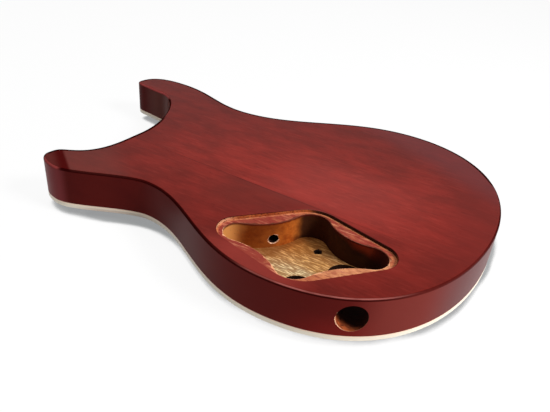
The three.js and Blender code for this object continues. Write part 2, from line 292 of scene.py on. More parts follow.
def waist_centre(lobe, following):
    """Centre of the hollow arc between two lobes."""
    span = following["centre"] - lobe["centre"]
    length = np.linalg.norm(span)
    reach_from, reach_to = lobe["radius"] + lobe["waist"], following["radius"] + lobe["waist"]
    along = (reach_from ** 2 - reach_to ** 2 + length ** 2) / (2 * length)
    out = math.sqrt(reach_from ** 2 - along ** 2)
    direction = span / length
    return lobe["centre"] + direction * along + np.array([direction[1], -direction[0]]) * out


def heading(start, end):
    """Angle of the way from one point to another."""
    return math.atan2(*(end - start)[::-1])


def pocket_outline():
    """Four lobes joined by hollow waists."""
    lobes = [dict(lobe, centre=in_cavity(lobe["shares"])) for lobe in LOBES]
    waists = [waist_centre(lobe, lobes[(i + 1) % 4]) for i, lobe in enumerate(lobes)]
    points = []
    for i, lobe in enumerate(lobes):
        following, waist = lobes[(i + 1) % 4], waists[i]
        start, end = heading(lobe["centre"], waists[i - 1]), heading(lobe["centre"], waist)
        end += 2 * math.pi * (end < start)
        points.append(arc(lobe["centre"], lobe["radius"], start, end, 26))
        start, end = heading(waist, lobe["centre"]), heading(waist, following["centre"])
        end -= 2 * math.pi * (end > start)
        points.append(arc(waist, lobe["waist"], start, end, 22)[1:-1])
    return np.vstack(points)


def rectangle(left, right, low, high, radius):
    """Rectangle with rounded corners."""
    corners = [np.array(corner, float) for corner in ((left, low), (right, low), (right, high), (left, high))]
    return rounded_polygon(corners, [radius] * 4)


def circle(centre, radius, sides):
    """Closed round outline."""
    return arc(np.array(centre, float), radius, 0, 2 * math.pi, sides)[:-1]


def is_inside(points, loop):
    """True for each point inside a closed outline."""
    following = np.roll(loop, -1, axis=0)
    x, y = points[:, :1], points[:, 1:]
    spans = (loop[:, 1] > y) != (following[:, 1] > y)
    rise = np.where(following[:, 1] == loop[:, 1], 1, following[:, 1] - loop[:, 1])
    crossing = loop[:, 0] + (following[:, 0] - loop[:, 0]) * (y - loop[:, 1]) / rise
    return ((x < crossing) & spans).sum(axis=1) % 2 == 1


def edge_distance(points, loop):
    """Distance of each point to a closed outline."""
    run = np.roll(loop, -1, axis=0) - loop
    best = np.full(len(points), 1e9)
    for start, step in zip(loop, run):
        share = np.clip(((points - start) @ step) / (step @ step), 0, 1)
        best = np.minimum(best, np.linalg.norm(points - start - share[:, None] * step, axis=1))
    return best


# Meshes

def at_height(points, height):
    """Flat outline lifted to a height."""
    return np.column_stack([points, np.full(len(points), float(height))])


def add(name, data):
    """Object with its data, in the scene."""
    thing = bpy.data.objects.new(name, data)
    bpy.context.scene.collection.objects.link(thing)
    return thing


def new_piece(name, places, faces, materials, slots=None):
    """Object from places in millimetres."""
    mesh = bpy.data.meshes.new(name)
    mesh.from_pydata((np.asarray(places) * MM).tolist(), [], faces)
    for material in materials:
        mesh.materials.append(material)
    if slots is not None:
        mesh.polygons.foreach_set("material_index", np.asarray(slots, np.int32))
    mesh.update()
    return add(name, mesh)


def loft(name, rings, side, low=None, high=None, bands=None):
    """Closed piece through rings with equal counts, from the lowest face to the highest.

    Bands are materials by the ring that their faces start from.
    """
    count, levels = len(rings[0]), len(rings)
    bands = bands or {}
    materials = list(dict.fromkeys([side, *(extra for extra in (low, high, *bands.values()) if extra)]))
    faces = [tuple(range(count - 1, -1, -1))]
    for first in range(0, (levels - 1) * count, count):
        for i in range(count):
            j = (i + 1) % count
            faces.append((first + i, first + j, first + count + j, first + count + i))
    faces.append(tuple(range((levels - 1) * count, levels * count)))
    slots = [materials.index(low or side)] + [0] * (len(faces) - 2) + [materials.index(high or side)]
    for level, material in bands.items():
        slots[1 + level * count:1 + (level + 1) * count] = [materials.index(material)] * count
    return new_piece(name, np.vstack(rings), faces, materials, slots)


def prism(name, points, low, high, material):
    """Upright piece with a flat outline, between two heights."""
    return loft(name, [at_height(points, z) for z in (low, high)], material)


def round_angles(count):
    """Even angles all the way round."""
    return np.linspace(0, 2 * math.pi, count, endpoint=False)


def torn_edge(count, most, seed):
    """How far fibres are torn away round an edge: mostly little, in places much."""
    rng = np.random.default_rng(seed)
    tears = rng.random(count) ** 4
    return most * (LEAST_TEAR + (1 - LEAST_TEAR) * (tears + np.roll(tears, 1) * 0.5) / 1.5)


def reach_to(point, direction, loop):
    """Distance along a direction from a point to the nearest crossing of a closed outline."""
    run = np.roll(loop, -1, axis=0) - loop
    offset = loop - point
    cross = direction[0] * run[:, 1] - direction[1] * run[:, 0]
    cross = np.where(abs(cross) < 1e-9, 1e-9, cross)
    distance = (offset[:, 0] * run[:, 1] - offset[:, 1] * run[:, 0]) / cross
    share = (offset[:, 0] * direction[1] - offset[:, 1] * direction[0]) / cross
    hits = distance[(share >= 0) & (share <= 1)]
    return hits[np.argmin(abs(hits))]


def torn_bore(name, start, end, radius, wall, tears, depths, material):
    """Round cutter from outside an upright wall, with fibres torn away round its mouth.

    Tears and depths go round the mouth, from its side along X and then down.
    """
    start, end = np.array(start, float), np.array(end, float)
    axis = unit(end - start)
    across = unit(np.cross(axis, (0, 0, 1)))
    other = np.cross(axis, across)
    level = np.linalg.norm(axis[:2])
    rings = [[], [], [], []]
    for angle, tear, depth in zip(round_angles(len(tears)), tears, depths):
        ring = math.cos(angle) * across + math.sin(angle) * other
        torn, bored = start + ring * (radius + tear), start + ring * radius
        torn += axis * reach_to(torn[:2], axis[:2] / level, wall) / level
        bored += axis * (reach_to(bored[:2], axis[:2] / level, wall) / level + depth)
        for points, place in zip(rings, (torn - axis * OVERRUN, torn, bored, end + ring * radius)):
            points.append(place)
    return loft(name, [np.array(points) for points in rings], material, bands={1: TORN_WOOD})


def bake(piece):
    """The piece's mesh with its modifiers applied."""
    graph = bpy.context.evaluated_depsgraph_get()
    mesh = bpy.data.meshes.new_from_object(piece.evaluated_get(graph))
    piece.modifiers.clear()
    piece.data = mesh
    mesh.name = piece.name


def combine(piece, tools, operation="DIFFERENCE"):
    """Booleans of the piece with each tool, which are then removed."""
    for tool in tools:
        change = piece.modifiers.new("cut", "BOOLEAN")
        change.operation = operation
        change.solver = "EXACT"
        change.material_mode = "TRANSFER"
        change.object = tool
    bake(piece)
    for tool in tools:
        bpy.data.objects.remove(tool)
    return piece


def smooth(piece):
    """Smooth faces with sharp corners, shaded true to the flat faces."""
    piece.data.shade_smooth()
    piece.data.set_sharp_from_angle(angle=math.radians(SHARP_DEGREES))
    weights = piece.modifiers.new("weights", "WEIGHTED_NORMAL")
    weights.keep_sharp = True
    bake(piece)
    return piece


def side_block(side, from_centre, skew, gap):
    """Block that holds one side of a line along the body: side is 1 for bass, -1 for treble."""
    near, far = side * gap / 2, side * WIDTH
    corners = [(-LENGTH, near), (LENGTH, near), (LENGTH, far), (-LENGTH, far)]
    cos, sin = math.cos(-skew), math.sin(-skew)
    turned = np.array([(x * cos - y * sin, x * sin + y * cos - from_centre) for x, y in corners])
    return prism("side_block", turned[::side], -BACK, 2 * BACK, None)


def halves(bass, treble_name, from_centre=0, skew=0, gap=0):
    """Bass and treble half of a piece, parted along a line."""
    treble = add(treble_name, bass.data.copy())
    for piece, side in ((bass, 1), (treble, -1)):
        combine(piece, [side_block(side, from_centre, skew, gap)], "INTERSECT")
    return bass, treble


# Shader helpers. New nodes go into the tree of the sockets that they take.

def colour(red, green, blue):
    """Linear colour from display values of 0 to 255."""
    parts = [value / 255 for value in (red, green, blue)]
    return [v / 12.92 if v <= 0.04045 else ((v + 0.055) / 1.055) ** 2.4 for v in parts] + [1.0]


def feed(node, **values):
    """Values or sockets for a node's inputs: by name, with _ for a space, or by number as in i0."""
    for key, value in values.items():
        by_number = key[0] == "i" and key[1:].isdigit()
        socket = node.inputs[int(key[1:])] if by_number else node.inputs[key.replace("_", " ")]
        if isinstance(value, bpy.types.NodeSocket):
            node.id_data.links.new(value, socket)
        else:
            socket.default_value = value


def put(kind, settings=None, tree=None, **values):
    """Outputs of a new node with its settings and its inputs."""
    sockets = [value for value in values.values() if isinstance(value, bpy.types.NodeSocket)]
    tree = tree or sockets[0].id_data
    node = tree.nodes.new("ShaderNode" + kind)
    for key, value in (settings or {}).items():
        setattr(node, key, value)
    feed(node, **values)
    return node.outputs


def mix(factor, first, second, kind="MIX"):
    """Mixed colour."""
    return put("Mix", {"data_type": "RGBA", "blend_type": kind}, i0=factor, i6=first, i7=second)[2]


def tinted(base, *layers):
    """Base colour under layers, each a mask and a tint in display values."""
    for mask, tint in layers:
        base = mix(mask, base, colour(*tint))
    return base


def maths(operation, first, second=0.0):
    """Result of one sum."""
    return put("Math", {"operation": operation}, i0=first, i1=second)[0]


def times(first, *others):
    """Product of masks and numbers."""
    for other in others:
        first = maths("MULTIPLY", first, other)
    return first


def rest(mask):
    """What a mask leaves."""
    return maths("SUBTRACT", 1.0, mask)


def vector_maths(operation, first, **second):
    """Result of one sum of vectors, which is a number for a dot product and a length."""
    outputs = put("VectorMath", {"operation": operation}, i0=first, **second)
    return outputs["Value" if operation in ("DOT_PRODUCT", "LENGTH") else "Vector"]


def part(vector, axis):
    """One coordinate of a vector."""
    return put("SeparateXYZ", Vector=vector)[axis]


def ramp(value, low, high, out_low=0.0, out_high=1.0, kind="LINEAR"):
    """Value taken in a straight line from one range to another."""
    return put("MapRange", {"interpolation_type": kind}, Value=value, From_Min=low, From_Max=high,
               To_Min=out_low, To_Max=out_high)["Result"]


def between(value, *ranges):
    """Value taken smoothly from one range to another."""
    return ramp(value, *ranges, kind="SMOOTHSTEP")


def within(*limits):
    """Product of masks, each a value taken smoothly from one range to another."""
    return times(*(between(*limit) for limit in limits))


def speckle(vector, stretch, detail=3.0, roughness=0.5, shift=(0, 0, 0)):
    """Noise whose cells are stretched by a scale along each direction."""
    place = put("Mapping", Vector=vector, Scale=stretch, Location=shift)[0]
    return put("TexNoise", Vector=place, Scale=1.0, Detail=detail, Roughness=roughness)[0]


def bump(height, distance, strength=1.0):
    """Normal from a height."""
    return put("Bump", Height=height, Distance=distance, Strength=strength)[0]


def seen_white(tree):
    """Mask of the rays that see the surroundings white: from the camera, reflected and through glass."""
    path = put("LightPath", tree=tree)
    seen = maths("MAXIMUM", path["Is Camera Ray"], path["Is Glossy Ray"])
    return maths("MAXIMUM", seen, path["Is Transmission Ray"])


def new_group(name, inputs, outputs):
    """Shader node group with its tree, its inputs and its output node. An input of None is a vector."""
    tree = bpy.data.node_groups.new(name, "ShaderNodeTree")
    for socket, value in inputs.items():
        kind = "NodeSocketVector" if value is None else "NodeSocketFloat"
        made = tree.interface.new_socket(socket, in_out="INPUT", socket_type=kind)
        if value is not None:
            made.default_value = value
    for socket in outputs:
        tree.interface.new_socket(socket, in_out="OUTPUT", socket_type="NodeSocketFloat")
    return tree, tree.nodes.new("NodeGroupInput").outputs, tree.nodes.new("NodeGroupOutput")


def use(group, **values):
    """A group placed in a material with its own values."""
    return put("Group", {"node_tree": group}, **values)


def new_material(name):
    """Material with its shader and the object's own coordinates."""
    material = bpy.data.materials.new(name)
    material.use_nodes = True
    tree = material.node_tree
    place = put("TexCoord", tree=tree)["Object"]
    return material, tree.nodes["Principled BSDF"], place


# Shared effects

def grain_group():
    """Wood grain along X: wide bands, fine streaks, short dark pores, and a height."""
    inputs = {"Vector": None, "Band Contrast": 0.5, "Pore Amount": 0.5, "Shift": 0.0}
    tree, given, out = new_group("wood_grain", inputs, ("Bands", "Streaks", "Pores", "Height"))
    shift = put("CombineXYZ", X=given["Shift"], Y=given["Shift"], Z=given["Shift"])[0]
    place = vector_maths("ADD", given["Vector"], i1=shift)
    bend = speckle(place, (24, 50, 50), 1.0)
    sway = times(maths("SUBTRACT", bend, 0.5), GRAIN_SWAY)
    swayed = vector_maths("ADD", place, i1=put("CombineXYZ", Y=sway, Z=sway)[0])
    bands = speckle(swayed, (11, 60, 60), 2.0)
    streaks = speckle(swayed, (55, 360, 360), 3.0, 0.6)
    pores = speckle(swayed, (130, 850, 850), 2.0, 0.5)
    least = maths("SUBTRACT", 0.76, times(given["Pore Amount"], 0.25))
    dashes = ramp(pores, least, maths("ADD", least, 0.1))
    spread = maths("SUBTRACT", bands, 0.5)
    contrast = put("Math", {"operation": "MULTIPLY_ADD"}, i0=spread, i1=given["Band Contrast"],
                   i2=0.5)[0]
    height = maths("SUBTRACT", times(streaks, 0.3), dashes)
    feed(out, Bands=contrast, Streaks=streaks, Pores=dashes, Height=height)
    return tree


def overspray_group():
    """Patchy stain that reached raw wood, and run-down stain just under an edge at a height."""
    inputs = {"Vector": None, "Amount": 0.5, "Edge Height": 0.045, "Run": 0.0015}
    tree, given, out = new_group("stain_overspray", inputs, ("Cover", "Run"))
    place = given["Vector"]
    cloud = speckle(place, (120, 190, 190), 4.0, 0.62)
    middle = rest(given["Amount"])
    cover = ramp(cloud, maths("SUBTRACT", middle, PATCH_SOFTNESS), maths("ADD", middle, PATCH_SOFTNESS))
    ragged = times(speckle(place, (260, 260, 40), 2.0), given["Run"])
    depth = maths("SUBTRACT", given["Edge Height"], part(place, "Z"))
    run = ramp(depth, ragged, maths("ADD", ragged, given["Run"]), 1.0, 0.0)
    feed(out, Cover=cover, Run=run)
    return tree


def edge_group():
    """Masks of the back's edge by which way it faces: the sides, a painted highlight line, a painted lit band
    by the treble horn's tip, and painted shade as a dark line.
    """
    tree, given, out = new_group("rounded_edge", {"Normal": None, "Vector": None},
                                 ("Side", "Rubbed", "Tip", "Pooled"))
    up, along = part(given["Normal"], "Z"), part(given["Vector"], "X")
    flat = vector_maths("NORMALIZE", vector_maths("MULTIPLY", given["Normal"], i1=(1, 1, 0)))
    toward = vector_maths("DOT_PRODUCT", flat, i1=LIT_EDGE_DIRECTION)
    near_tip = vector_maths("DOT_PRODUCT", flat, i1=HORN_TIP_DIRECTION)
    patchy = between(speckle(given["Vector"], (60, 60, 60), 2.0), 0.3, 0.6, 0.55, 1.0)
    # Painted highlight: a line on the near rounded edge, where it faces the light
    painted_highlight = times(within((up, 0.58, 0.74), (up, 0.97, 0.9), (toward, 0.72, 0.88),
                          (along, 0.06, 0.12), (along, 0.212, 0.18)), patchy)
    lit = within((up, 0.05, 0.4), (up, 0.99, 0.92))
    # Painted highlight: a lit band on the rounded edge at the treble horn's tip
    tip = times(within((near_tip, 0.88, 0.96), (along, -0.112, -0.132)), lit)
    near_butt = within((along, 0.185, 0.21), (toward, 0.3, 0.6))
    # Painted shade: a dark line on the rounded edge, weaker toward the butt's near side
    edge_shade = times(within((up, 0.02, 0.3), (up, 0.995, 0.93)), rest(painted_highlight), rest(tip),
                   rest(times(near_butt, 0.35)))
    side = times(between(up, 0.75, 0.25), rest(tip))
    feed(out, Side=side, Rubbed=painted_highlight, Tip=tip, Pooled=edge_shade)
    return tree


def cavity_place(place):
    """Place in the cavity's own directions, in metres."""
    cos, sin = math.cos(CAVITY_TURN), math.sin(CAVITY_TURN)
    x, y = CAVITY_PLACE * MM
    return put("Mapping", Vector=place, Rotation=(0, 0, -CAVITY_TURN),
               Location=(-x * cos - y * sin, x * sin - y * cos, 0))[0]


def past(place, direction, start, end, amount=1.0, ragged=0.0):
    """Mask that grows along a direction, between two distances in millimetres."""
    along = vector_maths("DOT_PRODUCT", place, i1=direction)
    if ragged:
        waver = maths("SUBTRACT", speckle(place, (90, 90, 90), 2.0), 0.5)
        along = maths("ADD", along, times(waver, 2 * ragged * MM))
    return between(along, start * MM, end * MM, 0.0, amount)


GRAIN = grain_group()
OVERSPRAY = overspray_group()
EDGE = edge_group()


# Finishes

def new_wood(name, contrast, pores, shift):
    """Material with its shader, the object's own coordinates and a wood grain."""
    material, shader, place = new_material(name)
    grain = use(GRAIN, Vector=place, Band_Contrast=contrast, Pore_Amount=pores, Shift=shift)
    return material, shader, place, grain


def bare(shader, base, roughness, grain, depth, strength):
    """Surface of wood without a coat, with its grain raised."""
    feed(shader, Base_Color=base, Roughness=roughness, Specular_IOR_Level=0.1,
         Normal=bump(grain["Height"], depth, strength))


def stained_wood(name, shift, tone, neck_tone):
    """Red-brown stain under a slight satin coat: its tone, and its tone at the neck end, with painted light
    and shade on the edges and sides.
    """
    material, shader, place, grain = new_wood(name, 1.0, 0.5, shift)
    cloud = speckle(place, (22, 44, 44), 3.0, 0.6, (shift, 0, 0))
    base = mix(between(cloud, 0.3, 0.7), colour(127, 41, 34), colour(151, 47, 39))
    base = tinted(
        base,
        (between(grain["Bands"], 0.2, 0.8, 0.0, 0.22), (116, 30, 26)),
        (between(grain["Streaks"], 0.5, 0.75, 0.0, 0.3), (176, 66, 56)),
        (between(grain["Streaks"], 0.48, 0.25, 0.0, 0.3), (106, 28, 24)),
        (times(grain["Pores"], 0.45), (84, 20, 18)),
        (seam_mask(place), (70, 16, 14)),
    )
    base = shaded_places(place, base, tone, neck_tone)
    edge = use(EDGE, Normal=place.node.outputs["Normal"], Vector=place)
    # Painted shade: a dark patch on the back by the treble horn's tip, where a reflection ends
    tip = maths("SUBTRACT", past(place, TO_TREBLE_HORN, 178, 181.5),
                past(place, TO_TREBLE_HORN, 184, 193, 0.5))
    tip = times(tip, rest(edge["Side"]))
    # Painted shade: a dark line along the back's far edge
    far = put("Attribute", {"attribute_name": "far_edge"}, place.id_data)["Fac"]
    far = times(between(far, 0.05, 0.3), rest(edge["Side"]))
    base = tinted(base, (times(tip, 0.94), (76, 4, 4)))
    # Painted shade: the sides get their own darker colour
    base = mix(times(edge["Side"], 0.9), base, side_stain_and_shade(place, cloud))
    # Painted light and shade on the rounded edge: dark line, lit band at the horn's tip, far dark line,
    # highlight line
    base = tinted(
        base,
        (times(edge["Pooled"], 0.82), (34, 3, 4)),
        (edge["Tip"], (156, 66, 64)),
        (times(far, 0.9), (30, 5, 4)),
        (times(edge["Rubbed"], 0.55), (186, 112, 104)),
    )
    dark = maths("MAXIMUM", times(tip, 0.8), maths("MAXIMUM", edge["Pooled"], far))
    coat = times(maths("ADD", 0.45, times(edge["Side"], 0.15)), rest(dark))
    feed(shader, Base_Color=base, Roughness=between(grain["Streaks"], 0.3, 0.7, 0.5, 0.6),
         Specular_IOR_Level=0.0, Coat_Weight=coat, Coat_IOR=1.14, Coat_Roughness=0.28,
         Normal=bump(grain["Height"], 0.00004, 0.5))
    return material


def side_stain_and_shade(place, cloud):
    """Colour of the upright sides, from the neck end to the butt: the stain painted darker than the back as
    shade, with painted light and painted reflections in places.
    """
    side = mix(between(cloud, 0.3, 0.7, 0.0, 0.4), colour(77, 12, 11), colour(90, 20, 15))
    low_by_jack = times(past(place, DOWN, -36, -16), past(place, TO_BUTT, 110, 160, 0.7))
    cutaway = times(past(place, TO_BASS, 40, 60), past(place, TO_BUTT, -228, -200, 0.85))
    horn_tip = times(past(place, TO_NECK, 119, 131), past(place, TO_TREBLE, 80, 100))
    return tinted(
        side,
        # Lighter past the waist; painted light low by the jack and past it; a painted reflection on the bass
        # cutaway's wall; painted light at the treble horn's tip; a grey painted reflection at the butt
        (past(place, TO_BUTT, -80, -50, 0.6), (100, 24, 20)),
        (low_by_jack, (124, 28, 24)),
        (past(place, TO_BUTT, 168, 196), (122, 48, 42)),
        (cutaway, (106, 60, 52)),
        (horn_tip, (132, 54, 57)),
        (past(place, TO_BUTT, 212, 236), (104, 64, 64)),
    )


def shaded_places(place, base, tone, neck_tone):
    """Back's colour: darker away from its middle and at the butt as painted shade, with painted reflections,
    a painted sheen, a lighter strip and a darker strip by the seam.
    """
    middle = put("Mapping", Vector=place, Scale=(1, 1.7, 0), Location=(-0.06, 0.052, 0))[0]
    away = vector_maths("LENGTH", middle)
    along, across = part(place, "X"), part(place, "Y")
    # Painted shade falling off away from the middle, times the plank's tone and its tone at the neck end
    depth = within((away, 0.0, 0.28, 1.04, 0.62), (along, -0.1, -0.02, neck_tone, tone))
    depth = put("CombineColor", i0=depth, i1=depth, i2=depth)[0]
    near_strip = within((along, 0.02, 0.07), (along, 0.15, 0.11), (across, -0.135, -0.15, 0.0, 0.5))
    by_seam = within((along, -0.02, 0.02), (along, 0.1, 0.06), (across, -0.115, -0.08, 0.0, 0.5),
                     (across, -0.0515, -0.0545))
    painted_sheen = within((along, 0.0, 0.07), (along, 0.2, 0.11), (across, -0.07, -0.04, 0.0, 0.2),
                  (across, 0.06, 0.0))
    return tinted(
        mix(1.0, base, depth, "MULTIPLY"),
        # Painted shade at the butt, painted reflections toward the far butt and the treble horn; then a
        # lighter strip, a darker strip by the seam and a painted sheen in the middle
        (past(place, (1, 0.12, 0), 178, 215, 0.45), (100, 30, 26)),
        (past(place, (0.45, 0.9, 0), 140, 185, 0.4), (98, 54, 58)),
        (past(place, (-0.57, -0.82, 0), 118, 150, 0.4), (108, 62, 56)),
        (near_strip, (160, 64, 56)),
        (by_seam, (94, 36, 30)),
        (painted_sheen, (172, 80, 74)),
    )


def seam_mask(place):
    """Dark glue line of the two planks, stronger in places."""
    skew = math.radians(SEAM_SKEW_DEGREES)
    across = (math.sin(skew), math.cos(skew), 0.0)
    back_across = tuple(-share for share in across)
    offset = SEAM_FROM_CENTRE * math.cos(skew)
    line = times(past(place, across, -offset - SEAM_STAIN_REACH, -offset - SEAM_STAIN_CORE),
                 past(place, back_across, offset - SEAM_STAIN_REACH, offset - SEAM_STAIN_CORE))
    patchy = between(speckle(place, (14, 14, 14), 2.0), 0.4, 0.6, 0.3, 0.95)
    line = times(line, times(patchy, past(place, TO_NECK, -130, -60)))
    return times(line, maths("ADD", past(place, TO_BUTT, -90, -25, 0.8), 0.2))


def raw_wood(name, light, dark, stain, cover=0.3, pores=0.75, pore_tint=None, marks=(), run_from=None):
    """Routed wood without a coat, in parts stained.

    Marks are tints past a distance in the cavity's own directions: direction, start, end, colour, amount.
    Stain has run down from a height.
    """
    material, shader, place, grain = new_wood(name, 1.6, pores, 1.3)
    spray = use(OVERSPRAY, Vector=place, Amount=cover, Edge_Height=(run_from or 2 * BACK) * MM)
    base = tinted(
        mix(between(grain["Bands"], 0.25, 0.75), colour(*light), colour(*dark)),
        (between(grain["Streaks"], 0.35, 0.8, 0.0, 0.5), light),
        (times(spray["Cover"], 0.65), stain),
    )
    in_cavity_frame = cavity_place(place) if marks else None
    for direction, start, end, tint, amount in marks:
        reached = past(in_cavity_frame, direction, start, end, amount, MARK_RAGGEDNESS)
        base = tinted(base, (reached, tint))
    base = tinted(base, (times(grain["Pores"], 0.75), pore_tint or tuple(value * 0.4 for value in dark)))
    if run_from:
        base = tinted(base, (times(spray["Run"], 0.9), (84, 14, 11)))
    bare(shader, base, 0.75, grain, 0.00015, 0.8)
    return material


def seat_ledge_wood(name, stained):
    """Ledge of the cover seat: raw wood that the stain reached, most of all at the neck end."""
    material, shader, place, grain = new_wood(name, 1.8, 0.8, 2.1)
    here = cavity_place(place)
    butt_half = past(here, TO_BUTT, -6, 10)
    far_side = times(past(here, TO_BASS, 4, 12, 0.26), butt_half)
    near_side = times(past(here, TO_TREBLE, -8, 4, 0.03), rest(butt_half))
    reached = maths("ADD", past(here, TO_NECK, -20, 50, 0.36), stained)
    reached = maths("ADD", maths("ADD", reached, far_side), near_side)
    spray = use(OVERSPRAY, Vector=place, Amount=reached)
    base = tinted(
        mix(between(grain["Bands"], 0.3, 0.7), colour(222, 152, 104), colour(200, 120, 78)),
        (times(spray["Cover"], 0.92), (140, 46, 40)),
        (between(grain["Streaks"], 0.5, 0.68, 0.0, 0.6), (222, 140, 108)),
        (times(grain["Pores"], 0.6), (120, 40, 32)),
    )
    bare(shader, base, 0.6, grain, 0.00015, 0.8)
    return material


def bore_wood(name, mouth_y, raw_depth):
    """Bored wood: raw by the mouth, with painted shade further in."""
    material, shader, place, grain = new_wood(name, 1.6, 0.8, 0.6)
    ragged = maths("ADD", part(place, "Y"), times(speckle(place, (300, 90, 300)), 0.005))
    base = tinted(
        mix(between(grain["Streaks"], 0.35, 0.7), colour(178, 88, 46), colour(122, 50, 24)),
        (times(grain["Pores"], 0.8), (70, 24, 12)),
        (between(ragged, mouth_y * MM, (mouth_y + raw_depth) * MM, 0.0, 0.95), (26, 8, 5)),
    )
    bare(shader, base, 0.8, grain, 0.0002, 0.9)
    return material


def cream_plastic():
    """Cream edge strip, scraped along its length, stained by the glue line, with painted shade by the treble
    horn, most of all low down.
    """
    material, shader, place = new_material("cream_plastic")
    scrape = speckle(place, (60, 60, 900), 3.0, 0.6)
    height = part(place, "Z")
    by_glue = times(between(height, (GLUE - 1.8) * MM, (GLUE - 0.4) * MM), 0.7)
    low = between(height, (RIM + 3.6) * MM, (RIM + 1.8) * MM, 0.35, 1.0)
    # Painted shade by the treble horn, stronger at the strip's lower part
    horn = times(past(place, TO_NECK, 0, 95, 0.85), low, past(place, TO_BUTT, -122, -96))
    base = tinted(
        mix(speckle(place, (25, 25, 25), 3.0), colour(248, 234, 210), colour(254, 246, 230)),
        (by_glue, (255, 214, 184)),
        (horn, (200, 178, 160)),
    )
    feed(shader, Base_Color=base, Roughness=between(scrape, 0.3, 0.7, 0.32, 0.45),
         Normal=bump(scrape, 0.00003, 0.4))
    return material


def front_maple(name, shift):
    """Figured maple under a red-brown stain and a clear coat."""
    material, shader, place, grain = new_wood(name, 0.7, 0.1, shift)
    flame = put("TexWave", {"wave_type": "BANDS", "bands_direction": "X"}, Vector=place,
                Scale=28.0, Distortion=5.0, Detail=2.0, Detail_Scale=0.8)[1]
    bend = speckle(place, (14, 10, 1), 2.0)
    curl = between(times(flame, maths("ADD", bend, 0.4)), 0.15, 0.85)
    base = tinted(
        mix(curl, colour(112, 38, 24), colour(176, 84, 44)),
        (between(grain["Streaks"], 0.4, 0.7, 0.0, 0.3), (134, 52, 30)),
    )
    feed(shader, Base_Color=base, Roughness=0.3, Coat_Weight=0.6, Coat_Roughness=0.12,
         Normal=bump(grain["Height"], 0.00002, 0.4))
    return material


# Materials. The marks on the cavity's woods follow its own directions, with X along its long way; many of
# them are painted light and painted shade.

STAIN_BASS = stained_wood("stained_wood_bass", 0.0, 1.0, 1.0)
STAIN_TREBLE = stained_wood("stained_wood_treble", 3.7, 0.88, 1.02)
# Painted shade on the cavity's walls that face away from the light
POCKET_PAINTED_SHADE = (30, 9, 6)
SEAT_WALL_PAINTED_SHADE = (26, 8, 6)
# Seat wall: painted light at the neck end, painted shade on its far side toward the butt
SEAT_WALL_WOOD = raw_wood("seat_wall_wood", (208, 122, 68), (162, 76, 38), (140, 50, 32), 0.4, 0.9, marks=[
    (TO_NECK, 60, 72, (244, 188, 146), 0.7),
    ((0.53, 0.85, 0), 38, 47, SEAT_WALL_PAINTED_SHADE, 0.93),
])
LEDGE_WOOD = seat_ledge_wood("seat_ledge_wood", 0.41)
# Less stain on the ledge's outer edge, at the foot of the seat wall: a paler line that also stands in for a
# painted highlight
LEDGE_EDGE_WOOD = seat_ledge_wood("seat_ledge_edge_wood", 0.12)
# Pocket walls: browner toward the neck end, painted light at the neck end, painted shade toward the butt, and
# a redder band near the top of that shade
WALL_WOOD = raw_wood("pocket_wall_wood", (226, 126, 48), (174, 84, 24), (120, 44, 16), 0.38, 0.3, marks=[
    (TO_NECK, 16, 34, (96, 36, 6), 0.66),
    (TO_NECK, 51, 67, (226, 158, 88), 0.78),
    (TO_BUTT, -20, -9, POCKET_PAINTED_SHADE, 0.95),
    ((0.35, 0, 0.94), 47, 58, (170, 56, 24), 0.8),
    (TO_BUTT, 46, 62, POCKET_PAINTED_SHADE, 0.85),
], run_from=BACK - SEAT_DEPTH)
LIP_WOOD = raw_wood("pocket_lip_wood", (240, 176, 132), (224, 140, 98), (160, 60, 46), marks=[
    (TO_BASS, -4, 6, (84, 16, 12), 0.9),
])
# Pocket floor: painted shade toward the far walls and in the far corner at the neck end
FLOOR_WOOD = raw_wood("pocket_floor_wood", (255, 236, 186), (234, 192, 130), (220, 164, 98), 0.35, 1.5,
                      (124, 70, 24), marks=[
    ((0.12, 0.99, 0), -8, 8, (226, 154, 70), 0.62),
    ((0.3, 0.95, 0), 8, 24, (140, 76, 26), 0.42),
    ((-0.8, 0.6, 0), 4, 32, (190, 112, 44), 0.45),
    ((-0.8, 0.6, 0), 26, 32, (112, 44, 4), 0.6),
])
BORE_WOOD = raw_wood("rout_wood", (206, 150, 98), (172, 110, 66), (140, 70, 44), 0.25)
# Jack bore: painted shade deeper in
JACK_WOOD = bore_wood("jack_bore_wood", -150.5, 11.0)
# Painted shade: near-black wood inside the pot recesses, the pilot hole and the wire channel
RECESS_SHADE_WOOD = raw_wood("recess_painted_shade", (40, 16, 9), (24, 8, 5), (18, 5, 4), 0.5)
TORN_WOOD = raw_wood("torn_fibres", (236, 184, 150), (212, 146, 106), (186, 104, 74))
CREAM = cream_plastic()
MAPLE_BASS = front_maple("front_maple_bass", 0.0)
MAPLE_TREBLE = front_maple("front_maple_treble", 5.1)
CAP_CORE = raw_wood("cap_core_maple", (226, 190, 142), (204, 160, 110), (180, 120, 80), 0.2)


# Body pieces

